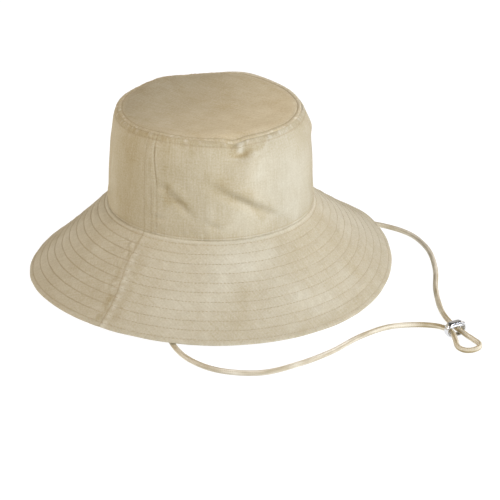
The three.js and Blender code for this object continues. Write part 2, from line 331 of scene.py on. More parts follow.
# Where the cotton is made paler, or browner where the amount is below 0: partly faded cotton
# and partly painted light and shade on the brim's undulations. As above, with the amount last.
BRIM_FADING_AND_PAINTED_LIGHT = (
    (230, 24, 20, 26, 17, 1.4),
    (202, 62, 80, 42, 20, 0.7),
    (252, 70, 12, 30, 13, 0.7),
    (227, 64, 122, 32, 10, -0.8),
    (184, 62, 88, 42, 5, -0.9),
    (264, 22, 5, 45, 20, -0.7),
    (294, 55, 90, 60, 20, -0.7),
    (260, 92, 0, 70, 5, -0.8),
    (312, 45, 90, 45, 14, 0.5),
    (135, 50, 90, 60, 28, 0.9),
    (172, 50, 90, 60, 13, -0.35),
    (214, 60, 90, 20, 6, 0.9),
    (220, 36, 90, 20, 6, 0.9),
    (244, 17, 0, 9, 8, 1.2),
    (282, 62, 90, 24, 10, -1.0),
    (301, 25, 90, 32, 12, 0.6),
    (322, 40, 90, 50, 14, 0.9),
    (128, 66, 90, 30, 14, 0.8),
    (179, 72, 90, 22, 4, -0.6),
)
# The same on the crown's wall, with heights above the base seam.
SIDE_BUMPS = (
    (126, 60, 90, 22, 17, -2.3),
    (233.1, 86.6, 0, 2.8, 2.2, 1.1),
    (228.6, 88.8, 0, 2.4, 2.2, -1.1),
    (226.5, 84.0, 60, 4.0, 1.6, -0.5),
)
# Paler and browner patches on the crown's wall, mostly painted light and shade: painted
# highlights on the pinch's bump and below its lobe, painted shade in the pinch, its lobe, under
# the tip seam and along the creases, and the lit right side painted paler; and other paler and
# browner patches.
SIDE_PAINTED_LIGHT_AND_FADING = (
    (233.1, 86.8, 0, 2.8, 2.2, 3.2),
    (229.4, 87.0, 0, 2.6, 2.2, -1.3),
    (235, 81.2, 6, 11, 3.8, -1.7),
    (230, 75.5, -6, 13, 2.2, 0.8),
    (252, 87.0, 10, 22, 3.6, -0.7),
    (237.0, 33.5, -30, 34, 5.2, -1.0),
    (197, 35.5, -42, 15, 4.2, -1.1),
    (266, 44, 0, 40, 38, 2.0),
    (190.5, 38, -75, 9, 3.2, -1.3),
    (213, 26, 80, 14, 6, 0.7),
    (226, 14, 0, 12, 9, 0.4),
    (190, 80, 0, 8, 12, -0.8),
    (165, 72, 0, 12, 20, -0.5),
    (243, 78, 10, 7, 5, 1.5),
    (254, 83, 10, 10, 4, 0.9),
    (246, 62, 40, 20, 8, 0.5),
    (262, 14, 0, 34, 12, 0.8),
    (241, 56, 0, 12, 16, 0.8),
    (310, 86, 0, 34, 3.2, 0.8),
    (229, 18, 10, 22, 14, 0.5),
    (163, 40, 78, 55, 17, -0.8),
    (145, 38, 105, 26, 9, 0.6),
    (224, 50, -27, 20, 8, -0.6),
    (225, 62, 70, 22, 9, -0.4),
)


def ring_plan(t, radius=BASE_X):
    return radius * np.cos(t), radius * np.sin(t)


def brim_radius(s):
    return BASE_X + CONE_COS * s


def tip_plan(t, s):
    return ring_plan(t, np.maximum(TIP_LENGTH - s, 0))


def seam_offset(t, radius):
    """From the nearest side seam, in mm round the hat, onwards positive."""
    first = angle_between(SIDE_SEAMS[0], t)
    second = angle_between(SIDE_SEAMS[1], t)
    return np.where(np.abs(first) < 90, first, second) * DEGREE * radius


def seam_valley(distance, sink):
    return -sink * bell(distance, SEAM_SINK_WIDTH)


def shoulder(t, distance):
    """The cloth rounds off on both sides of the tip seam, and stays firm at the back."""
    firm = bells_round(t, FIRM_STRETCHES)
    return SHOULDER_SINK * (firm - 1) * bell(distance, SHOULDER_REACH)


def stitch_groove(distance, depth=0.20, half_width=0.5):
    return -depth * bell(distance, half_width)


def row_place(s):
    """The place across the brim, counted in rows of stitches."""
    return (s - ROW_START) / ROW_STEP


def row_distance(s):
    """From the brim's nearest row of stitches."""
    place = row_place(s)
    return np.abs(place - np.round(np.clip(place, 0, ROW_COUNT - 1))) * ROW_STEP


def channel_height(s):
    """0 at the brim's rows of stitches, 1 midway between two."""
    return np.sin(math.pi * np.clip(row_place(s), 0, ROW_COUNT - 1)) ** 2


def channel_place(s):
    """Where the channel at s reads its own pattern."""
    return np.clip(np.floor(row_place(s)), 0, ROW_COUNT - 1) * NEXT_CHANNEL


def brim_seam_offset(t, s):
    """From the brim's seam, which wanders a little across the panels' meeting line."""
    return seam_offset(t, brim_radius(s)) + 6.2 - 7.6 * smooth(26, 78, s)


def seam_row_offset(s):
    """The front row of a side seam leans away from the seam on its way down."""
    return 3.6 + 3.0 * smooth(80, 45, s)


def seam_opening(s):
    """Where the front row of a side seam gapes, 0 to 1."""
    return smooth(44, 50, s) * smooth(86, 80, s)


def third_row_part(s):
    """The short third row of a side seam, 1 where it is sewn."""
    return smooth(48, 44, s)


def row_strength(t):
    """How deep the brim's stitching sits: well in on the back panel, less on the front."""
    azimuth = t / DEGREE % 360
    return 0.45 + 0.55 * (smooth(0, 12, azimuth) * smooth(184, 172, azimuth))


def brim_relief(t, s):
    radius = brim_radius(s)
    x, y = ring_plan(t, radius)
    nearest, across, channel = row_distance(s), channel_height(s), channel_place(s)
    strength = row_strength(t)
    lift = soft_patches(t, radius, s, BRIM_SWELLS)
    lift += 0.20 * broad(x, y) + 0.15 * middling(x, y)
    # the channels puff up between the rows of stitches, and pucker
    puff = 0.20 + 0.14 * channel_puff(*ring_plan(t), channel)
    lift += puff * across * (0.4 + 0.6 * strength)
    lift += stitch_groove(nearest, 0.26 * strength)
    lift += 0.14 * (pucker(x, y, channel) * across)
    lift += 0.05 * small_pucker(x, y) * bell(nearest, 2)
    # the seam between the panels
    seam = brim_seam_offset(t, s)
    swelling = 0.45 * across + 0.32 * pucker(s * 1.3, channel) * across
    lift += bell(seam - 4.5, 5.5) * swelling
    lift += 0.22 * bell(seam + 7, 7) * pucker(x * 1.5, y * 1.5)
    lift += stitch_groove(seam, 0.32, 0.6)
    # the ridge along the base seam
    lift = lift * smooth(0, 2.5, s) + 0.40 * bell(s - 2.0, 1.1)
    return lift + seam_valley(s, BASE_SEAM_SINK)


def side_relief(t, s):
    x, y = ring_plan(t)
    top = SIDE_HEIGHT - s
    seam = seam_offset(t, BASE_X)
    lift = 0.25 * broad(x * 1.2, y * 1.2, s) + 0.22 * middling(x, y, s)
    lift += soft_patches(t, BASE_Y, s, SIDE_BUMPS)
    # puckers, turned cloth and a row of stitches under the tip seam
    ripple = 0.6 * pucker(x * 1.3, y * 1.3, s * 0.3) + 1.2 * small_pucker(x, y, s * 0.3)
    lift += 0.12 * ripple * bell(top - 3.0, 4)
    lift += 0.16 * smooth(5.6, 4.4, top) + stitch_groove(top - SIDE_TOP_ROW, 0.26)
    # the side seams stand proud between their rows of stitches
    inside = smooth(7.4, 4.6, np.abs(seam + 0.4))
    lift += 0.30 * inside + 0.28 * bell(seam - 1.0, 1.6) * smooth(30, 55, s)
    front_row = seam - seam_row_offset(s)
    lift += stitch_groove(seam + SEAM_ROW)
    lift += stitch_groove(front_row, 0.22 + 0.45 * seam_opening(s), 0.6)
    lift += stitch_groove(seam - THIRD_ROW) * third_row_part(s)
    lift += 0.20 * bell(seam, 9) * pucker(s * 1.2, x * 0.4)
    # turned cloth and a row of stitches over the base seam
    lift += 0.22 * smooth(4.4, 2.4, s) + stitch_groove(s - SIDE_BASE_ROW, 0.22)
    lift += 0.13 * bell(s - 3, 6) * small_pucker(x, y, s * 0.3)
    lift = lift * smooth(0, 1.6, s) * smooth(0, 1.6, top)
    lift += seam_valley(s, BASE_SEAM_SINK) + shoulder(t, top)
    return lift + seam_valley(top, TIP_SEAM_SINK)


def tip_relief(t, s):
    """Here s is the distance in from the tip seam."""
    x, y = tip_plan(t, s)
    lift = 0.45 * broad(x, y) * smooth(0, 14, s) + 0.15 * middling(x, y)
    x, y = ring_plan(t)
    ripple = 0.6 * pucker(x, y, s * 0.3) + 1.2 * small_pucker(x, y, s * 0.3)
    lift += 0.11 * ripple * bell(s - 2, 3)
    lift += 0.26 * smooth(4.6, 3.4, s) + stitch_groove(s - TIP_ROW, 0.42, 0.6)
    return lift * smooth(0, 1.6, s) + shoulder(t, s) + seam_valley(s, TIP_SEAM_SINK)


# ---- Tones on the cloth ----
# Shade is painted shade in the seams and stitch rows, 0 to 1. Fading is above 0 where the cloth
# is made paler and below 0 where it is browner: partly faded cotton, partly painted light and
# shade of creases, dents, puckers and lit sides. Light brightens or dims a stretch: on the tip
# and the crown's wall it is painted light and shade, and the whole brim is a little darker.


def brim_shade(t, s):
    rows = 0.32 * row_strength(t) ** 2 * bell(row_distance(s), 0.5)
    seam = 0.45 * bell(brim_seam_offset(t, s), 0.7)
    return np.maximum(rows, np.maximum(seam, 0.1 * bell(s, 0.6)))


def side_shade(t, s):
    seam = seam_offset(t, BASE_X)
    dots = 0.9 + 0.7 * np.cos(2 * math.pi * (s - DOT_START) / DOT_PITCH)
    rows = np.maximum(dots * bell(seam + SEAM_ROW, 0.6), 0.6 * bell(s - SIDE_BASE_ROW, 0.45))
    rows = np.maximum(rows, 0.9 * bell(SIDE_HEIGHT - s - SIDE_TOP_ROW, 0.5))
    rows = np.maximum(rows, dots * third_row_part(s) * bell(seam - THIRD_ROW, 0.6))
    opening = seam_opening(s)
    front = dots * (1 - opening) + 2.0 * opening
    rows = np.maximum(rows, front * bell(seam - seam_row_offset(s), 0.6))
    gaps = np.maximum(0.5 * bell(s, 0.6), bell(SIDE_HEIGHT - s, 0.5))
    return np.maximum(0.34 * rows, 0.2 * gaps)


def tip_shade(t, s):
    return np.maximum(0.62 * bell(s - TIP_ROW, 0.6), 0.2 * bell(s, 0.5)) + 0 * t


fade_drift = Ripples(16, 26)


def brim_fade(t, s):
    radius = brim_radius(s)
    x, y = ring_plan(t, radius)
    fade = soft_patches(t, radius, s + 2.5 * fade_drift(x, y), BRIM_FADING_AND_PAINTED_LIGHT)
    seam = brim_seam_offset(t, s)
    # paler at the rows just past the seam, and browner before it
    fade += 2.0 * bell(seam - 3.6, 2.8) * (1 - channel_height(s)) * smooth(10, 30, s)
    fade -= 0.65 * bell(seam + 4, 4.5) * np.clip(0.5 + pucker(x, y), 0, 2)
    return 0.65 + fade + 0.08 * middling(y, x) + 1.0 * bell(s - 1.7, 1.0)


def side_fade(t, s):
    x, y = ring_plan(t)
    fade = soft_patches(t, BASE_Y, s + 4.0 * fade_drift(x, y, s), SIDE_PAINTED_LIGHT_AND_FADING)
    top = SIDE_HEIGHT - s
    left = smooth(250, 200, t / DEGREE % 360)
    # paler flecks on the puckers along the tip seam, and a paler line along the base seam
    pale_at_seams = 1.5 * bell(top - 1.5, 3) * np.clip(small_pucker(x, y, s * 0.3) - 0.5, 0, 2)
    pale_at_seams += 0.8 * bell(s - 1.0, 1.0)
    fade += 0.12 * middling(y, x, s) - 0.25
    # painted shade: a browner band under the tip seam, deeper on the left
    return fade - (0.3 + 0.5 * left) * smooth(8, 3, top) + pale_at_seams


def tip_fade(t, s):
    x, y = tip_plan(t, s)
    pale_at_seams = 1.5 * bell(s - 1.0, 2.5) * np.clip(small_pucker(x, y) - 0.5, 0, 2)
    # painted highlight on the raised rim at the back
    painted_highlight_back_rim = 1.4 * bell(angle_between(0, t), 60) * bell(s - 1.5, 4.5)
    return -0.8 + 0.12 * fade_drift(x, y) + pale_at_seams + painted_highlight_back_rim


def tip_light(t, s):
    """Painted light: the tip is paler towards the front."""
    x, y = tip_plan(t, s)
    inner = np.clip(0.90 - 0.030 * y - 0.001 * x, -0.9, 2.4)
    return inner * smooth(0, 9, s) + 0.7 * smooth(9, 0, s)


def side_light(t, s):
    """Painted shade: the front right of the crown's wall is a little dimmer."""
    azimuth = t / DEGREE % 360
    return -0.75 * smooth(232, 262, azimuth) * smooth(325, 300, azimuth) + 0 * s


def brim_light(t, s):
    return -0.35 + 0 * t * s


# ---- Meshes ----


def add_mesh(name, points, faces, material, uv=None, **tones):
    mesh = bpy.data.meshes.new(name)
    mesh.from_pydata((np.asarray(points) * MM).tolist(), [], faces)
    if uv is not None:
        corners = np.empty(len(mesh.loops), dtype=np.int32)
        mesh.loops.foreach_get("vertex_index", corners)
        layer = mesh.uv_layers.new(name="cloth")
        layer.data.foreach_set("uv", (uv[corners] * MM).astype(np.float32).ravel())
    for tone, values in tones.items():
        layer = mesh.attributes.new(tone, "FLOAT", "POINT")
        layer.data.foreach_set("value", np.asarray(values, dtype=np.float32).ravel())
    mesh.validate()
    mesh.shade_smooth()
    mesh.materials.append(material)
    piece = bpy.data.objects.new(name, mesh)
    bpy.context.collection.objects.link(piece)
    return piece


# How far the dense stretches of a mesh reach, and the step there.
DENSE_ROUND, DENSE_ALONG = (2.0, 0.5), (1.6, 0.4)


def spaced(high, step, dense, half_width, fine):
    """Places from 0 to high about a step apart, closer together round the dense ones."""
    places = [0]
    while places[-1] < high:
        near = min((abs(places[-1] - d) for d in dense), default=1e9)
        places.append(places[-1] + (fine if near < half_width else step))
    return np.array(places) * high / places[-1]


def loft_faces(rounds, loop, wrap, flip):
    """Quads over a row of closed loops, rounds of them, each of loop points."""
    i = np.arange(rounds if wrap else rounds - 1)[:, None]
    j = np.arange(loop)[None, :]
    a = i * loop + j
    b = ((i + 1) % rounds) * loop + j
    c = ((i + 1) % rounds) * loop + (j + 1) % loop
    d = i * loop + (j + 1) % loop
    corners = (a, d, c, b) if flip else (a, b, c, d)
    return np.stack(corners, -1).reshape(-1, 4).tolist()


def closed_rod(rounds, loop):
    """The faces of a rod of rounds rings, with both ends closed."""
    faces = loft_faces(rounds, loop, False, True)
    faces.append(list(range(loop)))
    faces.append([(rounds - 1) * loop + k for k in range(loop)][::-1])
    return faces


def mitre(own, other):
    """Unit cloth thickness across a seam, along the bisector of its two normals."""
    bisector = own + other
    return bisector / (1 + np.sum(own * other, -1, keepdims=True))


EDGE_STEPS = 5
MITRE_REACH = 5.0
# How much of the outer face's relief shows on the inner one.
INNER_RELIEF = 0.3
# The lowest any cloth or cord comes to the floor.
FLOOR_GAP = 0.05
STEP_ALONG = 1.15
# How far the tip's rings stop short of its middle.
MIDDLE_GAP = 0.6


def over_the_edge(values, extra):
    """Spreads one value per outer point over the outer face, the edge and the inner face."""
    edge = np.repeat(values[:, -1:], extra, 1)
    return np.concatenate((values, edge, values[:, ::-1]), 1)


def rounded_edge(outer, inner, onward):
    """Rings of points in a half circle from the outer face's last row to the inner one's."""
    centre = (outer + inner) / 2
    reach = (outer - inner) / 2
    size = np.linalg.norm(reach, axis=-1, keepdims=True)
    rings = []
    for step in range(1, EDGE_STEPS):
        turn = math.pi * step / EDGE_STEPS
        rings.append(centre + reach * math.cos(turn) + onward * size * math.sin(turn))
    return np.stack(rings, 1)


def end_caps(rounds, loop, count, flip):
    """Faces that close a shell at both ends, with count points along each of its faces."""
    extra = loop - 2 * count
    faces = []
    for first, outwards in ((0, not flip), ((rounds - 1) * loop, flip)):
        for j in range(count - 1):
            far = first + loop - 1 - j
            quad = [first + j, first + j + 1, far - 1, far]
            faces.append(quad if outwards else quad[::-1])
        if extra:
            cap = [first + count - 1 + k for k in range(extra + 2)]
            faces.append(cap if outwards else cap[::-1])
    return faces


def mitred(own, panel, T, S):
    """The directions of thickness, bent at the panel's seams to meet the next piece's."""
    thickness = own.copy()
    for edge, distance, other in panel["mitres"]:
        at_edge = np.full_like(T[:, :1], edge)
        bent = mitre(panel["normal"](T[:, :1], at_edge), other(T[:, :1], at_edge))
        near = 1 - smooth(0, MITRE_REACH, np.abs(S - distance))
        thickness += (bent - own) * near[..., None]
    return thickness


def cloth_panel(name, panel, start, end):
    """A closed shell of cloth between two azimuths in degrees."""
    arc = (end * DEGREE - start * DEGREE) * panel["radius"]
    seams = (0.0, arc) + panel["dense_round"](arc)
    places = spaced(arc, panel["step_round"], seams, *DENSE_ROUND)
    t = start * DEGREE + places / panel["radius"]
    s_end = panel["length"] - (CLOTH / 2 if panel["free_edge"] else 0)
    s = spaced(s_end, STEP_ALONG, panel["dense"], *DENSE_ALONG)
    T, S = np.meshgrid(t, s, indexing="ij")
    fraction = S / panel["length"]
    base, own = panel["point"](T, fraction), panel["normal"](T, fraction)
    lift = panel["relief"](T, S)
    thickness = mitred(own, panel, T, S)
    outer = base + thickness * lift[..., None]
    inner = base - thickness * (CLOTH + INNER_RELIEF * (lift - lift.mean()))[..., None]
    rows = [outer, inner[:, ::-1]]
    if panel["free_edge"]:
        onward = unit(base[:, -1] - base[:, -2])
        rows.insert(1, rounded_edge(outer[:, -1], inner[:, -1], onward))
    points = np.concatenate(rows, 1)
    points[..., 2] = np.maximum(points[..., 2], FLOOR_GAP)
    rounds, loop = points.shape[:2]
    extra = loop - 2 * s.size
    uv = over_the_edge(panel["uv"](T, S), extra).reshape(-1, 2)
    tones = {tone: over_the_edge(f(T, S), extra) for tone, f in panel["tones"].items()}
    faces = loft_faces(rounds, loop, False, panel["flip"])
    faces += end_caps(rounds, loop, s.size, panel["flip"])
    return add_mesh(name, points.reshape(-1, 3), faces, cotton, uv, **tones)


def cloth_disc(name, panel):
    """The tip: two discs joined at their rim."""
    length = panel["length"]
    count = int(2 * math.pi * length / panel["step_round"])
    t = np.arange(count) * 2 * math.pi / count
    s = spaced(length - MIDDLE_GAP, STEP_ALONG, panel["dense"], *DENSE_ALONG)
    T, S = np.meshgrid(t, s, indexing="ij")
    fraction = 1 - S / length
    base, own = panel["point"](T, fraction), panel["normal"](T, fraction)
    thickness = mitred(own, panel, T, S)
    outer = base + thickness * panel["relief"](T, S)[..., None]
    inner = base - thickness * CLOTH
    points = np.concatenate((outer[:, ::-1], inner), 1)
    rounds, loop = points.shape[:2]
    grid = loft_faces(rounds, loop, True, False)
    # the two discs stay apart in the middle, where each has a centre point of its own
    faces = [face for index, face in enumerate(grid) if index % loop != loop - 1]
    flat = points.reshape(-1, 3)
    centre = len(flat)
    flat = np.concatenate((flat, [outer[:, -1].mean(0), inner[:, -1].mean(0)]))
    for i in range(rounds):
        following = (i + 1) % rounds
        faces.append([centre, following * loop, i * loop])
        faces.append([centre + 1, i * loop + loop - 1, following * loop + loop - 1])
    tones = {}
    for tone, tone_at in panel["tones"].items():
        values = tone_at(T, S)
        both = np.concatenate((values[:, ::-1], values), 1)
        tones[tone] = np.append(both, (values[0, -1], values[0, -1]))
    return add_mesh(name, flat, faces, cotton, flat[:, :2], **tones)


# ---- Stitches ----

STITCH_PITCH = 3.2
STITCH_LENGTH = 2.1
STITCH_SLANT = 0.06
THREAD_RADIUS = 0.27
THREAD_SIDES = 6
# A stitch's rings, as places along its half length and parts of its radius, and the height of
# its two ends in radii.
STITCH_RINGS = ((-0.72, 0.8), (0.0, 1.0), (0.72, 0.8))
STITCH_ENDS = -0.55
# How far a stitch stands out of the cloth, as a part of the thread's radius.
THREAD_LIFT = 0.45
ROUND_SAMPLES, UPRIGHT_SAMPLES = 900, 160
UPRIGHT_START, UPRIGHT_END, THIRD_ROW_END = 3, 85.5, 45


def stitch_template():
    """One stitch along x, standing on z: points and faces."""
    half = STITCH_LENGTH / 2
    points = [(-half, 0, STITCH_ENDS * THREAD_RADIUS)]
    for x, size in STITCH_RINGS:
        for side in range(THREAD_SIDES):
            turn = 2 * math.pi * side / THREAD_SIDES
            y = THREAD_RADIUS * size * math.cos(turn)
            z = THREAD_RADIUS * (size * math.sin(turn) + (size - 1))
            points.append((x * half, y, z))
    points.append((half, 0, STITCH_ENDS * THREAD_RADIUS))
    last = len(points) - 1
    faces = []
    for side in range(THREAD_SIDES):
        following = (side + 1) % THREAD_SIDES
        faces.append((0, 1 + following, 1 + side))
        for ring in range(len(STITCH_RINGS) - 1):
            a = 1 + ring * THREAD_SIDES + side
            b = 1 + ring * THREAD_SIDES + following
            faces.append((a, b, b + THREAD_SIDES, a + THREAD_SIDES))
        start = 1 + (len(STITCH_RINGS) - 1) * THREAD_SIDES
        faces.append((start + side, start + following, last))
    return np.array(points), faces


def add_stitches(name, rows):
    """rows holds (points, normals) along each sewn line, evenly spaced and dense."""
    template, template_faces = stitch_template()
    draw = np.random.default_rng(len(name) + len(rows))
    points, faces, count = [], [], 0
    for line, normals in rows:
        along = distance_along(line)
        total = along[-1]
        number = max(1, int((total - STITCH_LENGTH) / STITCH_PITCH))
        middles = (np.arange(number) + 0.5) * total / number
        place = read_line(middles, along, line)
        ahead = read_line(middles + 0.5, along, line)
        behind = read_line(middles - 0.5, along, line)
        up = unit(read_line(middles, along, normals))
        forward = unit(ahead - behind)
        side = unit(np.cross(up, forward))
        turn = draw.normal(0, STITCH_SLANT, size=(number, 1))
        forward, side = forward + side * turn, side - forward * turn
        up = np.cross(forward, side)
        shape = (
            place[:, None]
            + forward[:, None] * template[None, :, :1]
            + side[:, None] * template[None, :, 1:2]
            + up[:, None] * (template[None, :, 2:] + THREAD_RADIUS * THREAD_LIFT)
        )
        points.append(shape.reshape(-1, 3))
        for index in range(number):
            offset = count + index * len(template)
            faces.extend([[v + offset for v in face] for face in template_faces])
        count += number * len(template)
    return add_mesh(name, np.concatenate(points), faces, thread)


def sewn_line(panel, t, s):
    fraction = panel["fraction"](s)
    normals = panel["normal"](t, fraction)
    lift = panel["relief"](t, s)
    return panel["point"](t, fraction) + normals * lift[:, None], normals


def row_round(panel, start, end, s):
    """A sewn line round the hat, at a distance along the cloth."""
    t = np.linspace(start * DEGREE, end * DEGREE, ROUND_SAMPLES)
    return sewn_line(panel, t, np.full_like(t, s))


def row_upright(azimuth, offset, high):
    """A sewn line up a side seam, offset round the hat from it."""
    s = np.linspace(UPRIGHT_START, high, UPRIGHT_SAMPLES)
    return sewn_line(SIDE, azimuth * DEGREE + offset(s) / BASE_X, s)


# ---- Materials ----


class Nodes:
    """Short names for building one material's nodes."""

    def __init__(self, name):
        self.material = bpy.data.materials.new(name)
        self.material.use_nodes = True
        self.tree = self.material.node_tree
        self.shader = self.tree.nodes["Principled BSDF"]

    def add(self, kind, settings=None, **inputs):
        node = self.tree.nodes.new(kind)
        for name, value in (settings or {}).items():
            setattr(node, name, value)
        for name, value in inputs.items():
            self.put(node, name.replace("_", " "), value)
        return node

    def put(self, node, name, value):
        socket = node.inputs[int(name)] if name.isdigit() else node.inputs[name]
        if isinstance(value, bpy.types.NodeSocket):
            self.tree.links.new(value, socket)
        else:
            socket.default_value = value

    def math(self, operation, a, b=0.0, c=0.0):
        node = self.add("ShaderNodeMath", {"operation": operation})
        for index, value in enumerate((a, b, c)):
            self.put(node, str(index), value)
        return node.outputs[0]

    def noise(self, vector, scale, detail=2.0, roughness=0.5):
        inputs = {"Vector": vector, "Scale": scale, "Detail": detail, "Roughness": roughness}
        return self.add("ShaderNodeTexNoise", **inputs).outputs["Fac"]

    def place(self):
        return self.add("ShaderNodeTexCoord").outputs["Object"]

    def cloth(self):
        return self.add("ShaderNodeUVMap", {"uv_map": "cloth"}).outputs[0]

    def tone(self, name):
        return self.add("ShaderNodeAttribute", {"attribute_name": name}).outputs["Fac"]

    def stretched(self, vector, x, y, z=1.0):
        return self.add("ShaderNodeMapping", Vector=vector, Scale=(x, y, z)).outputs[0]

    def weighted(self, parts, total=0.0):
        """The sum of values, each times its weight, and a start."""
        for value, weight in parts:
            total = self.math("MULTIPLY_ADD", value, weight, total)
        return total

    def mix(self, amount, a, b, blend="MIX"):
        node = self.add("ShaderNodeMix", {"data_type": "RGBA", "blend_type": blend})
        for name, value in zip("067", (amount, a, b)):
            self.put(node, name, value)
        return node.outputs[2]

    def spread(self, value, low, high, to_low=0.0, to_high=1.0):
        node = self.add("ShaderNodeMapRange")
        for name, number in zip("01234", (value, low, high, to_low, to_high)):
            self.put(node, name, number)
        return node.outputs[0]

    def bump(self, height, strength, distance):
        node = self.add("ShaderNodeBump", Strength=strength, Distance=distance, Height=height)
        return node.outputs[0]

    def surface(self, **inputs):
        for name, value in inputs.items():
            self.put(self.shader, name.replace("_", " "), value)
        return self.material


# Lengths in the materials are metres, and scales are per metre.
WEAVE_PITCH = 0.00062


def cotton_material():
    n = Nodes("hat_cotton")
    cloth, place = n.cloth(), n.place()
    clouds = n.noise(place, 42, 4, 0.6)
    patches = n.noise(n.stretched(place, 1.0, 1.3, 0.8), 115, 3, 0.55)
    warp = n.noise(n.stretched(cloth, 620, 55), 1.0)
    weft = n.noise(n.stretched(cloth, 60, 620), 1.0)
    grain = n.noise(cloth, 620, 3, 0.65)
    # each noise varies about 0.5, so half of its weight is taken off
    parts = ((clouds, 0.44), (patches, 0.5), (warp, 0.8), (weft, 0.3), (grain, 1.7))
    mottle = n.weighted(parts, -0.5 * sum(weight for _, weight in parts))
    # the fading tone makes the colour paler or browner: faded cotton, and painted light and
    # shade
    faded = n.spread(n.weighted([(n.tone("fade"), 0.42)], mottle), -1.5, 1.5)
    colour = n.mix(faded, (0.32, 0.23, 0.085, 1), (0.70, 0.675, 0.555, 1))
    # the light tone scales the colour: painted light and shade on the tip and the crown's wall
    level = n.math("MULTIPLY_ADD", n.tone("light"), 0.15, 1.0)
    grey = n.add("ShaderNodeCombineColor", Red=level, Green=level, Blue=level).outputs[0]
    colour = n.mix(1.0, colour, grey, "MULTIPLY")
    # painted shade in the seams and stitch rows
    colour = n.mix(n.tone("shade"), colour, (0.33, 0.25, 0.14, 1))
    separate = n.add("ShaderNodeSeparateXYZ", Vector=cloth)
    threads = [
        n.math("SINE", n.math("MULTIPLY", separate.outputs[axis], 2 * math.pi / WEAVE_PITCH))
        for axis in (0, 1)
    ]
    weave = n.math("MULTIPLY", *threads)
    height = n.weighted(((warp, 0.5), (weave, 0.16), (weft, 0.35), (grain, 0.5)))
    return n.surface(
        Base_Color=colour,
        Roughness=n.spread(grain, 0.3, 0.7, 0.82, 0.96),
        Normal=n.bump(height, 0.6, 0.0004),
        Specular_IOR_Level=0.12,
        Sheen_Weight=0.05,
        Sheen_Roughness=0.55,
        Sheen_Tint=(1.0, 0.96, 0.88, 1),
    )


def thread_material():
    n = Nodes("cotton_thread")
    place = n.place()
    fibre = n.noise(place, 2600, 2, 0.6)
    part = n.weighted(((fibre, 0.5), (n.noise(place, 60), 0.5)))
    return n.surface(
        Base_Color=n.mix(part, (0.38, 0.305, 0.185, 1), (0.52, 0.44, 0.305, 1)),
        Roughness=n.spread(fibre, 0.3, 0.7, 0.7, 0.88),
        Normal=n.bump(fibre, 0.4, 0.0001),
        Specular_IOR_Level=0.3,
    )


def braid_material():
    n = Nodes("braided_cord")
    cloth = n.cloth()
    streak = n.noise(n.stretched(cloth, 22, 420), 1.0)
    fibre = n.noise(n.stretched(cloth, 1800, 1800), 1.0, 2, 0.6)
    part = n.weighted(((streak, 1.0), (fibre, 0.3), (n.noise(n.place(), 55), 0.4)))
    colour = n.mix(n.spread(part, 0.68, 1.02), (0.36, 0.285, 0.145, 1), (0.80, 0.75, 0.61, 1))
    # painted light: the fading tone makes two stretches of the cord paler
    colour = n.mix(n.tone("fade"), colour, (0.84, 0.81, 0.72, 1))
    return n.surface(
        Base_Color=n.mix(n.tone("shade"), colour, (0.28, 0.215, 0.12, 1)),
        Roughness=n.spread(fibre, 0.3, 0.7, 0.72, 0.9),
        Normal=n.bump(fibre, 0.5, 0.0002),
        Specular_IOR_Level=0.3,
        Sheen_Weight=0.15,
        Sheen_Roughness=0.5,
    )


def chrome_material():
    n = Nodes("bright_metal")
    place = n.place()
    smudge = n.noise(place, 420, 3, 0.6)
    scratch = n.noise(n.stretched(place, 300, 300, 4000), 1.0)
    return n.surface(
        Base_Color=n.mix(smudge, (0.62, 0.63, 0.65, 1), (0.82, 0.83, 0.85, 1)),
        Metallic=1.0,
        Roughness=n.spread(smudge, 0.35, 0.65, 0.16, 0.24),
        Normal=n.bump(scratch, 0.06, 0.00005),
    )


def floor_material():
    n = Nodes("pale_floor")
    tone = n.noise(n.place(), 1.2)
    return n.surface(
        Base_Color=n.mix(tone, (0.11, 0.11, 0.11, 1), (0.13, 0.13, 0.13, 1)),
        Roughness=0.9,
        Specular_IOR_Level=0.1,
        Emission_Color=(1, 1, 1, 1),
        Emission_Strength=0.97,
    )


cotton = cotton_material()
thread = thread_material()
braid = braid_material()
chrome = chrome_material()

# ---- Chin cord ----

CORD_RADIUS = 2.4
SLIDER_MIDDLE = (7.0, -258.2)
SLIDER_TURN = -25 * DEGREE
STRAND_OFFSET, STRAND_HEIGHT = 4.2, 5.0
# The height of the cord's middle where it lies on the floor.
LAID = CORD_RADIUS


def at_slider(across, forward, up):
    """Places given in the slider's own directions, up being above the floor."""
    cos, sin = math.cos(SLIDER_TURN), math.sin(SLIDER_TURN)
    x = SLIDER_MIDDLE[0] + across * cos + forward * sin
    y = SLIDER_MIDDLE[1] + across * sin - forward * cos
    return x, y, up


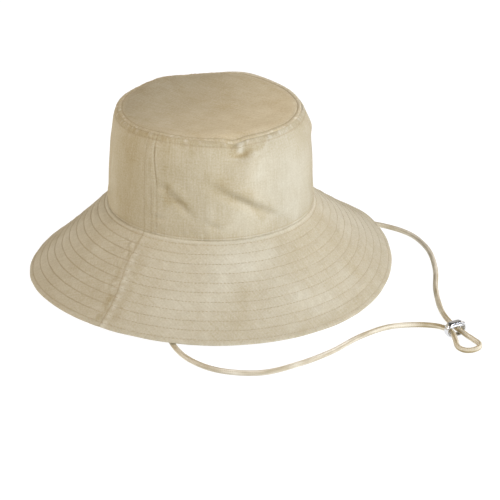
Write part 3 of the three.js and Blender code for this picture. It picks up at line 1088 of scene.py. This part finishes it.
CORD_ROUTE = (
    (-88.4, 0, 68),
    (-90, -5, 38),
    (-96, -13, 14),
    (-108, -25, 4.4),
    (-128, -44, LAID + 0.1),
    (-150, -66, LAID),
    (-164, -93, LAID),
    (-166, -125, LAID),
    (-149, -158, LAID),
    (-119, -175.5, LAID),
    (-84, -187, LAID),
    (-45, -193, LAID),
    (-16, -204, LAID),
    (2, -222.5, LAID + 0.1),
    (8.5, -240, 3.4),
    at_slider(-STRAND_OFFSET, -5, STRAND_HEIGHT),
    at_slider(-STRAND_OFFSET, 2, STRAND_HEIGHT),
    (-5, -265.5, 3.5),
    (-14, -273.5, LAID + 0.1),
    (-15.6, -280.5, LAID),
    (-12, -286, LAID),
    (-5, -288.4, LAID),
    (1.5, -285.6, LAID),
    (5, -278.5, LAID + 0.3),
    (7.4, -270, 3.7),
    at_slider(STRAND_OFFSET, 2, STRAND_HEIGHT),
    at_slider(STRAND_OFFSET, -5, STRAND_HEIGHT),
    (27, -238, 3.2),
    (42, -223.5, LAID + 0.1),
    (72, -201.5, LAID),
    (110, -179, LAID),
    (143.5, -151, LAID),
    (162, -120.5, LAID),
    (164, -88, LAID),
    (153, -54, LAID),
    (133, -28, LAID + 0.2),
    (113, -12, 4.6),
    (98, -5, 15),
    (91, -1, 40),
    (88.4, 0, 68),
)


def curve_through(route, steps):
    """The centripetal curve through the route's points, as the CAD's cord follows."""
    route = np.array(route, dtype=float)
    ends = (2 * route[0] - route[1], 2 * route[-1] - route[-2])
    knots = np.concatenate(([ends[0]], route, [ends[1]]))
    points = []
    for index in range(len(route) - 1):
        p0, p1, p2, p3 = knots[index : index + 4]
        d0, d1, d2 = (
            math.sqrt(np.linalg.norm(b - a)) for a, b in ((p0, p1), (p1, p2), (p2, p3))
        )
        t1 = ((p1 - p0) / d0 - (p2 - p0) / (d0 + d1) + (p2 - p1) / d1) * d1
        t2 = ((p2 - p1) / d1 - (p3 - p1) / (d1 + d2) + (p3 - p2) / d2) * d1
        u = (np.arange(steps) / steps)[:, None]
        c2 = -3 * p1 + 3 * p2 - 2 * t1 - t2
        c3 = 2 * p1 - 2 * p2 + t1 + t2
        points.append(p1 + t1 * u + c2 * u**2 + c3 * u**3)
    return np.concatenate(points + [route[-1:]])


def evenly(line, step):
    along = distance_along(line)
    places = np.linspace(0, along[-1], int(along[-1] / step) + 1)
    return read_line(places, along, line), places


def carried_sides(line):
    """Two directions across a line, turned as little as possible on their way along it."""
    tangent = unit(np.gradient(line, axis=0))
    side = unit(np.cross(tangent[0], (0, 1, 0)))
    sides = []
    for direction in tangent:
        side = side - direction * (side @ direction)
        side = side / np.linalg.norm(side)
        sides.append(side)
    return np.array(sides), np.cross(tangent, sides)


BRAID_STRANDS = 8
BRAID_PITCH = 27.0
BRAID_DEPTH = 0.20
CORD_SIDES = 24
ROUTE_STEPS = 60
CORD_STEP = 0.6


def add_cord():
    line, along = evenly(curve_through(CORD_ROUTE, ROUTE_STEPS), CORD_STEP)
    side, over = carried_sides(line)
    turn = 2 * math.pi * np.arange(CORD_SIDES) / CORD_SIDES
    A, U = np.meshgrid(along, turn, indexing="ij")
    right = np.sin(BRAID_STRANDS * (U + 2 * math.pi * A / BRAID_PITCH))
    left = np.sin(BRAID_STRANDS * (U - 2 * math.pi * A / BRAID_PITCH))
    weave = right * left
    radius = CORD_RADIUS + BRAID_DEPTH * (0.5 * weave - 0.25)
    points = (
        line[:, None]
        + side[:, None] * (radius * np.cos(U))[..., None]
        + over[:, None] * (radius * np.sin(U))[..., None]
    )
    points[..., 2] = np.maximum(points[..., 2], FLOOR_GAP)
    rounds, loop = radius.shape
    faces = closed_rod(rounds, loop)
    uv = np.stack((A, U * CORD_RADIUS), -1).reshape(-1, 2)
    shade = 0.5 * smooth(-0.2, -1.0, weave).reshape(-1)
    # painted light: two stretches of the cord, the front one and the far one, are paler
    front = smooth(-10, -60, line[:, 0]) * smooth(-60, -120, line[:, 1])
    far = smooth(100, 120, line[:, 0]) * bell(line[:, 1] + 140, 26)
    fade = np.repeat(np.maximum(0.25 * front, 0.5 * far), loop)
    points = points.reshape(-1, 3)
    return add_mesh("hat_cord", points, faces, braid, uv, shade=shade, fade=fade), line


cord, cord_line = add_cord()

# ---- Slider ----

SLIDER_WIDTH, SLIDER_HEIGHT, SLIDER_LENGTH = 20.0, 14.0, 6.0
SLIDER_WALL = 1.7
SLIDER_FLOOR_GAP = 0.02
OUTLINE_POINTS, SECTION_POINTS = 96, 28
# The sleeve's wall is thicker along its middle, and the bar widens at both ends.
WALL_BULGE, BULGE_REACH = 0.20, 1.8
BAR_RADIUS, BAR_HEIGHT = 1.7, 9.5
BAR_FLARE, FLARE_REACH = 0.55, 2.2
BAR_SIDES, BAR_STEPS = 28, 22


def sleeve_outline():
    """The sleeve's outline, as places and outward directions in its own plane."""
    radius = SLIDER_HEIGHT / 2
    reach = (SLIDER_WIDTH - SLIDER_HEIGHT) / 2
    half_turn = math.pi * radius
    places, outward = [], []
    for index in range(OUTLINE_POINTS):
        d = (2 * half_turn + 4 * reach) * index / OUTLINE_POINTS
        if d < half_turn:
            turn, centre = d / radius - math.pi / 2, reach
        elif d < half_turn + 2 * reach:
            turn, centre = math.pi / 2, reach - (d - half_turn)
        elif d < 2 * half_turn + 2 * reach:
            turn, centre = math.pi / 2 + (d - half_turn - 2 * reach) / radius, -reach
        else:
            turn, centre = -math.pi / 2, d - 2 * half_turn - 3 * reach
        direction = (math.cos(turn), math.sin(turn))
        places.append((centre + radius * direction[0], radius * direction[1]))
        outward.append(direction)
    return np.array(places), np.array(outward)


def sleeve_section():
    """The wall's rounded section: along the sleeve, and inwards from its outside."""
    turn = 2 * math.pi * np.arange(SECTION_POINTS) / SECTION_POINTS
    cos, sin = np.cos(turn), np.sin(turn)
    along = SLIDER_LENGTH / 2 * np.sign(cos) * np.abs(cos) ** 0.45
    inwards = SLIDER_WALL / 2 * (1 - np.sign(sin) * np.abs(sin) ** 0.55)
    bulge = WALL_BULGE * bell(along, BULGE_REACH)
    return along, inwards - np.where(sin > 0, bulge, -bulge)


def slider_bar():
    """The bar's points, ring after ring across the sleeve."""
    half = (SLIDER_WIDTH - SLIDER_WALL) / 2
    x = np.linspace(-half, half, BAR_STEPS + 1)[:, None]
    turn = 2 * math.pi * np.arange(BAR_SIDES) / BAR_SIDES
    radius = BAR_RADIUS + BAR_FLARE * smooth(half - FLARE_REACH, half, np.abs(x))
    up = radius * np.sin(turn) + BAR_HEIGHT
    return np.stack(np.broadcast_arrays(x, radius * np.cos(turn), up), -1).reshape(-1, 3)


def add_slider():
    places, outward = sleeve_outline()
    along, inwards = sleeve_section()
    ring = places[:, None] - outward[:, None] * inwards[:, None]
    forward = np.broadcast_to(along, ring.shape[:2])
    sleeve = np.stack((ring[..., 0], forward, ring[..., 1] + SLIDER_HEIGHT / 2), -1)
    faces = loft_faces(OUTLINE_POINTS, SECTION_POINTS, True, False)
    first = OUTLINE_POINTS * SECTION_POINTS
    faces += [[v + first for v in face] for face in closed_rod(BAR_STEPS + 1, BAR_SIDES)]
    x, y, z = np.concatenate((sleeve.reshape(-1, 3), slider_bar())).T
    placed = np.stack(at_slider(x, y, np.maximum(z, SLIDER_FLOOR_GAP)), -1)
    return add_mesh("slider", placed, faces, chrome)


slider = add_slider()

# ---- Crown and brim ----

ROW_END_GAP = 0.4


def brim_uv(middle):
    """Each half of the brim laid flat, as cut, about its middle azimuth."""

    def uv(t, s):
        turn = (t - middle * DEGREE) * CONE_COS
        radius = BASE_X / CONE_COS + s
        return np.stack((radius * np.sin(turn), radius * np.cos(turn)), -1)

    return uv


# What the meshes and the stitches of a cloth piece are made from. dense and dense_round are
# where its points stand close together. mitres holds, for each seam, its fraction, its distance
# along the cloth, and the normals of the piece beyond, which is there at the same fraction.
BRIM = {
    "point": brim_point,
    "normal": brim_normal,
    "length": BRIM_WIDTH,
    "fraction": lambda s: s / BRIM_WIDTH,
    "radius": 132.0,
    "step_round": 1.3,
    "dense": BRIM_ROWS + (0.0,),
    "dense_round": lambda arc: (),
    "relief": brim_relief,
    "tones": {"shade": brim_shade, "fade": brim_fade, "light": brim_light},
    "free_edge": True,
    "mitres": ((0.0, 0.0, side_normal),),
    "flip": True,
}
SIDE = {
    "point": side_point,
    "normal": side_normal,
    "length": SIDE_HEIGHT,
    "fraction": lambda s: s / SIDE_HEIGHT,
    "radius": 94.5,
    "step_round": 1.15,
    "dense": (0.0, SIDE_BASE_ROW, SIDE_HEIGHT - SIDE_TOP_ROW, SIDE_HEIGHT),
    "dense_round": lambda arc: (5.0, arc - SEAM_ROW),
    "relief": side_relief,
    "tones": {"shade": side_shade, "fade": side_fade, "light": side_light},
    "free_edge": False,
    "mitres": ((0.0, 0.0, brim_normal), (1.0, SIDE_HEIGHT, tip_normal)),
    "flip": False,
    "uv": lambda t, s: np.stack((t * BASE_Y, s), -1),
}
TIP = {
    "point": tip_point,
    "normal": tip_normal,
    "length": TIP_LENGTH,
    "fraction": lambda s: 1 - s / TIP_LENGTH,
    "step_round": 1.3,
    "dense": (0.0, TIP_ROW),
    "relief": tip_relief,
    "tones": {"shade": tip_shade, "fade": tip_fade, "light": tip_light},
    "mitres": ((1.0, 0.0, side_normal),),
}

brim_front = cloth_panel("brim_front_cloth", {**BRIM, "uv": brim_uv(270)}, *FRONT)
brim_back = cloth_panel("brim_back_cloth", {**BRIM, "uv": brim_uv(90)}, *BACK)
side_front = cloth_panel("side_front_cloth", SIDE, *FRONT)
side_back = cloth_panel("side_back_cloth", SIDE, *BACK)
tip = cloth_disc("tip_cloth", TIP)


def half_row(panel, half, s):
    """A row of stitches round one half of the hat, short of the seams at both ends."""
    return row_round(panel, half[0] + ROW_END_GAP, half[1] - ROW_END_GAP, s)


crown_rows = [
    half_row(SIDE, half, s)
    for s in (SIDE_HEIGHT - SIDE_TOP_ROW, SIDE_BASE_ROW)
    for half in (FRONT, BACK)
]
crown_rows.append(row_round(TIP, 0.0, 360.0, TIP_ROW))
for azimuth in SIDE_SEAMS:
    crown_rows.append(row_upright(azimuth, lambda s: 0 * s - SEAM_ROW, UPRIGHT_END))
    crown_rows.append(row_upright(azimuth, seam_row_offset, UPRIGHT_END))
    crown_rows.append(row_upright(azimuth, lambda s: 0 * s + THIRD_ROW, THIRD_ROW_END))
stitches = [
    add_stitches("stitches_brim_front", [half_row(BRIM, FRONT, s) for s in BRIM_ROWS]),
    add_stitches("stitches_brim_back", [half_row(BRIM, BACK, s) for s in BRIM_ROWS]),
    add_stitches("stitches_crown", crown_rows),
]

# ---- Floor, light, world ----

FLOOR_HALF = 6000.0


def add_floor():
    signs = ((-1, -1), (1, -1), (1, 1), (-1, 1))
    corners = [(x * FLOOR_HALF, y * FLOOR_HALF, 0) for x, y in signs]
    floor = add_mesh("floor", corners, [[0, 1, 2, 3]], floor_material())


add_floor()

# Name, azimuth and height above level in degrees, size in metres, watts, colour.
LIGHTS = (
    ("key", 265, 30, 1.4, 45.5, (0.82, 0.878, 1.0)),
    ("top", 245, 50, 1.4, 20, (1.0, 0.86, 0.73)),
    ("rim", 125, 26, 1.4, 28, (1.0, 0.87, 0.74)),
    ("side", 345, 25, 1.4, 14, (1.0, 0.87, 0.76)),
    ("back", 35, 27, 1.8, 3.5, (1.0, 0.93, 0.85)),
)
LIGHT_DISTANCE = 2.4
LIGHT_AIM = (0, 0, 0.08)


def add_light(name, azimuth, height, size, power, colour):
    data = bpy.data.lights.new(name, "AREA")
    data.shape = "DISK"
    data.size = size
    data.energy = power
    data.color = colour
    light = bpy.data.objects.new(name, data)
    level = math.cos(height * DEGREE) * LIGHT_DISTANCE
    light.location = (
        level * math.cos(azimuth * DEGREE),
        level * math.sin(azimuth * DEGREE),
        math.sin(height * DEGREE) * LIGHT_DISTANCE,
    )
    aim_at(light, LIGHT_AIM)
    bpy.context.collection.objects.link(light)


for settings in LIGHTS:
    add_light(*settings)

# The world is pale along the horizon, which hides the floor's end, and dim above it. These are
# two heights on the unit sphere and the strength at each.
HORIZON_BAND = (0.03, 0.15, 1.0, 0.05)


def add_world():
    world = bpy.data.worlds.new("studio")
    world.use_nodes = True
    tree = world.node_tree
    background = tree.nodes["Background"]
    background.inputs["Color"].default_value = (1, 1, 1, 1)
    direction = tree.nodes.new("ShaderNodeTexCoord")
    height = tree.nodes.new("ShaderNodeSeparateXYZ")
    band = tree.nodes.new("ShaderNodeMapRange")
    band.interpolation_type = "SMOOTHSTEP"
    for name, number in zip("1234", HORIZON_BAND):
        band.inputs[int(name)].default_value = number
    tree.links.new(direction.outputs["Generated"], height.inputs[0])
    tree.links.new(height.outputs[2], band.inputs[0])
    tree.links.new(band.outputs[0], background.inputs["Strength"])
    bpy.context.scene.world = world


add_world()
bpy.context.scene.view_settings.view_transform = "Standard"

# ---- What each piece is ----

for piece, node in (
    (tip, "crown_tip"),
    (side_front, "crown_side_front"),
    (side_back, "crown_side_back"),
    (brim_front, "brim_front"),
    (brim_back, "brim_back"),
    (cord, "chin_cord"),
    (slider, "cord_slider"),
):
    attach(piece, "root")
    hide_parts(node)
for piece in stitches:
    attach(piece, "root")
